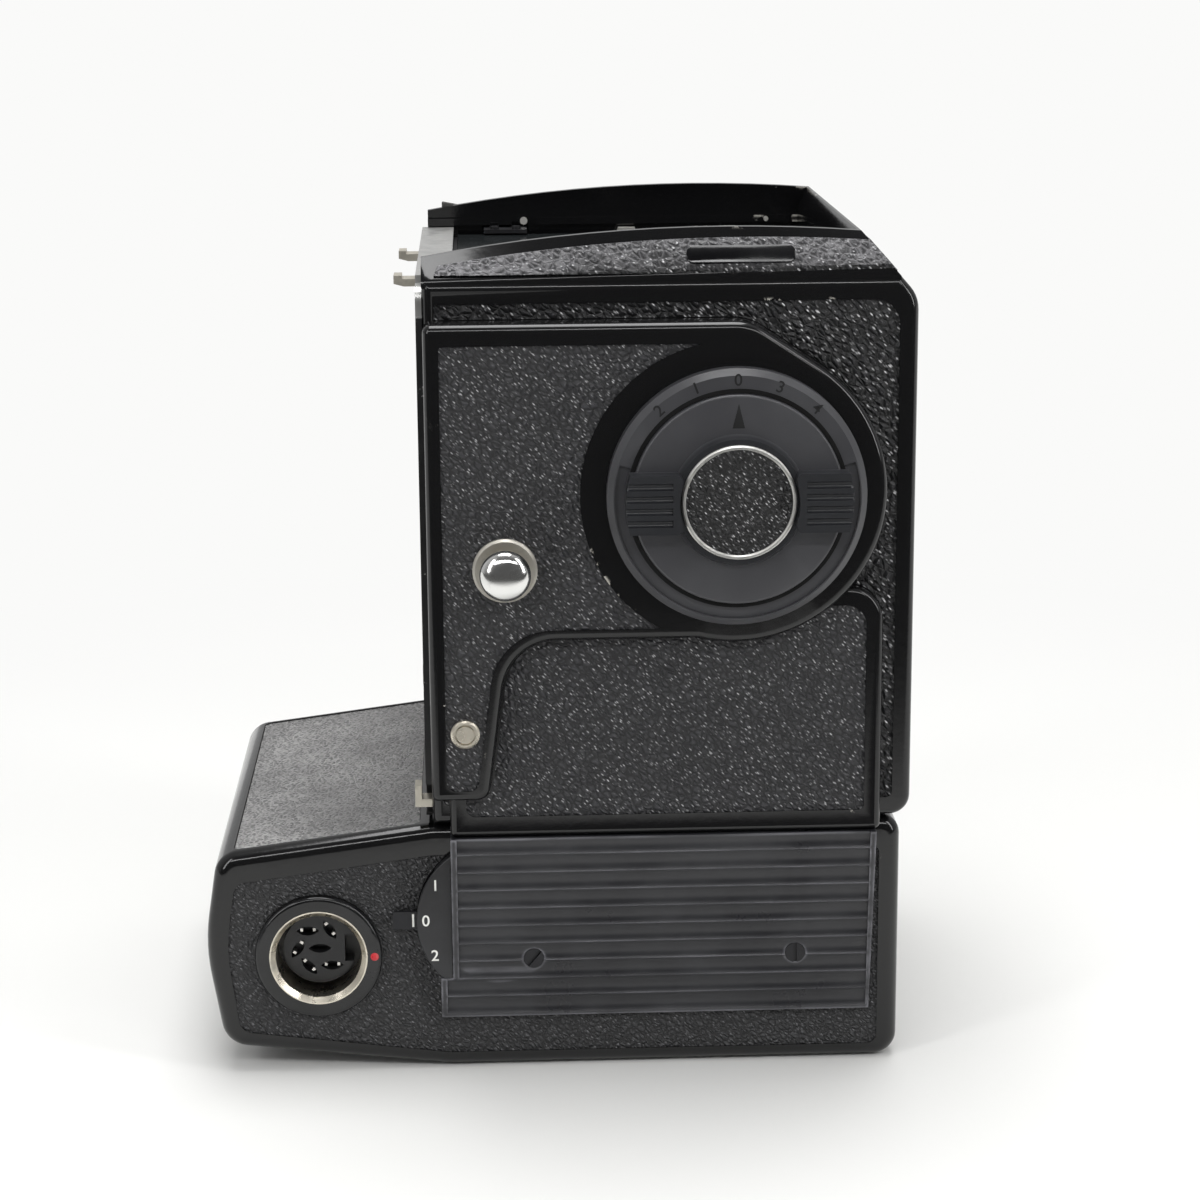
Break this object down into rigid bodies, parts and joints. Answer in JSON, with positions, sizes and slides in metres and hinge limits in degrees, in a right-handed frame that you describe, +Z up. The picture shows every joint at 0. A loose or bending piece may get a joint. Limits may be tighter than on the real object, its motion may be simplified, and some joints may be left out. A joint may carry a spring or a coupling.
{
  "type": "medium format film camera",
  "caption": "Motor-driven medium format reflex camera body with open finder slot, mirror, selector dial and battery base.",
  "frame": {"origin": "mouth of the small tripod thread, in the plane that the camera stands on, in the plane of the lens axis", "axes": "+X towards the lens side (front), +Z up, -Y the side with the selector dial"},
  "size_m": [0.1048, 0.0907, 0.126],
  "materials": {
    "black_enamel": "gloss",
    "black_chamber": "matte",
    "leather": "grained",
    "dial_plastic": "satin",
    "bright_chrome": "polished",
    "steel": "satin",
    "machined_aluminium": "machined",
    "aluminium": "black anodised",
    "brass": "turned",
    "screen_glass": "ground",
    "mirror": "polished",
    "foot_rubber": "matte",
    "board": "satin",
    "cell": "gloss"
  },
  "bodies": {
    "camera": {"body_shell": "black_enamel", "body_leather": "leather", "side_cover": "black_enamel", "side_cover_leather": "leather", "lower_panel": "black_enamel", "lower_panel_leather": "leather", "index_ring": "dial_plastic", "strap_lugs": "bright_chrome", "cover_stud": "bright_chrome", "rear_plate": "machined_aluminium", "mirror_chamber": "black_chamber", "screen_frame": "black_chamber", "focusing_screen": "screen_glass", "finder_studs": "bright_chrome", "front_plate": "black_enamel", "front_leather": "leather", "bayonet_ring": "bright_chrome", "magazine_hooks": "steel", "magazine_supports": "steel", "accessory_rail": "aluminium", "base_housing": "black_enamel", "base_leather": "leather", "base_floor": "aluminium", "tripod_bushes": "brass", "feet": "foot_rubber", "grip_plate": "dial_plastic", "grip_screws": "steel", "lobe_plate": "dial_plastic", "socket_ring": "dial_plastic", "socket_shell": "bright_chrome", "socket_insert": "dial_plastic", "socket_contacts": "brass", "release_port": "bright_chrome", "port_plug": "bright_chrome", "motor": "steel", "motor_bracket": "aluminium", "release_solenoid": "steel", "circuit_board": "board"},
    "dial": {"mode_dial": "dial_plastic", "dial_trim_ring": "bright_chrome", "dial_leather": "leather"},
    "lever": {"mode_lever": "black_enamel"},
    "mirror": {"mirror_frame": "black_chamber", "mirror_glass": "mirror"},
    "upper_flap": {"flap_upper": "black_chamber"},
    "lower_flap": {"flap_lower": "black_chamber"},
    "right_catch": {"screen_catch_right": "black_chamber"},
    "left_catch": {"screen_catch_left": "black_chamber"},
    "lens_release": {"lens_release_button": "bright_chrome"},
    "lock_pin": {"lens_lock_pin": "steel"},
    "lens_shaft": {"lens_drive_shaft": "steel"},
    "counter": {"counter_shaft": "steel", "magazine_gear": "steel"},
    "transfer": {"transfer_gear": "steel"},
    "pinion": {"motor_pinion": "steel"},
    "release": {"release_button": "bright_chrome"},
    "battery_tray": {"battery_cassette": "dial_plastic", "battery_cells": "cell", "battery_cover": "dial_plastic"},
    "tray_lock": {"battery_lock": "bright_chrome"}
  },
  "joints": [
    {"name": "dial_turn", "type": "hinge", "parent": "camera", "child": "dial", "pos_m": [0.0094, -0.0442, 0.0889], "axis": [0, -1, 0], "range_deg": [-41, 41]},
    {"name": "lever_turn", "type": "hinge", "parent": "camera", "child": "lever", "pos_m": [-0.0251, -0.0354, 0.024], "axis": [0, -1, 0], "range_deg": [-30, 30]},
    {"name": "mirror_lift", "type": "hinge", "parent": "camera", "child": "mirror", "pos_m": [-0.031, 0, 0.1143], "axis": [0, -1, 0], "range_deg": [0, 45]},
    {"name": "flap_upper_swing", "type": "hinge", "parent": "camera", "child": "upper_flap", "pos_m": [-0.0316, 0, 0.1074], "axis": [0, -1, 0], "range_deg": [0, 90]},
    {"name": "flap_lower_swing", "type": "hinge", "parent": "camera", "child": "lower_flap", "pos_m": [-0.0316, 0, 0.051], "axis": [0, -1, 0], "range_deg": [-90, 0]},
    {"name": "right_catch_slide", "type": "slide", "parent": "camera", "child": "right_catch", "axis": [0, -1, 0], "range_m": [0, 0.0015]},
    {"name": "left_catch_slide", "type": "slide", "parent": "camera", "child": "left_catch", "axis": [0, 1, 0], "range_m": [0, 0.0015]},
    {"name": "lens_release_press", "type": "slide", "parent": "camera", "child": "lens_release", "axis": [-1, 0, 0], "range_m": [0, 0.002], "stiffness_N_per_m": 300, "springref_m": -0.003},
    {"name": "lock_pin_slide", "type": "slide", "parent": "camera", "child": "lock_pin", "axis": [-1, 0, 0], "range_m": [0, 0.002]},
    {"name": "lens_shaft_turn", "type": "hinge", "parent": "camera", "child": "lens_shaft", "pos_m": [0.029, -0.008, 0.0551], "axis": [1, 0, 0], "range_deg": [0, 300]},
    {"name": "counter_turn", "type": "hinge", "parent": "camera", "child": "counter", "pos_m": [0.029, -0.0128, 0.04679], "axis": [1, 0, 0], "range_deg": [-265, 0]},
    {"name": "transfer_turn", "type": "hinge", "parent": "camera", "child": "transfer", "pos_m": [0.029, -0.0128, 0.03389], "axis": [1, 0, 0], "range_deg": [0, 174]},
    {"name": "pinion_turn", "type": "hinge", "parent": "camera", "child": "pinion", "pos_m": [0.029, -0.0128, 0.02339], "axis": [1, 0, 0], "range_deg": [-501, 0]},
    {"name": "release_press", "type": "slide", "parent": "camera", "child": "release", "axis": [-1, 0, 0], "range_m": [0, 0.0025], "stiffness_N_per_m": 300, "springref_m": -0.003},
    {"name": "tray_pull", "type": "slide", "parent": "camera", "child": "battery_tray", "axis": [0, 1, 0], "range_m": [0, 0.06]},
    {"name": "tray_lock_turn", "type": "hinge", "parent": "battery_tray", "child": "tray_lock", "pos_m": [-0.0422, 0.0365, 0.021], "axis": [0, 1, 0], "range_deg": [0, 90]}
  ],
  "couplings": [
    {"joint": "flap_upper_swing", "follows": "mirror_lift", "ratio": 2},
    {"joint": "flap_lower_swing", "follows": "mirror_lift", "ratio": -2},
    {"joint": "lock_pin_slide", "follows": "lens_release_press", "ratio": 1},
    {"joint": "counter_turn", "follows": "lens_shaft_turn", "ratio": -0.88235},
    {"joint": "transfer_turn", "follows": "lens_shaft_turn", "ratio": 0.57692},
    {"joint": "pinion_turn", "follows": "lens_shaft_turn", "ratio": -1.6667}
  ]
}
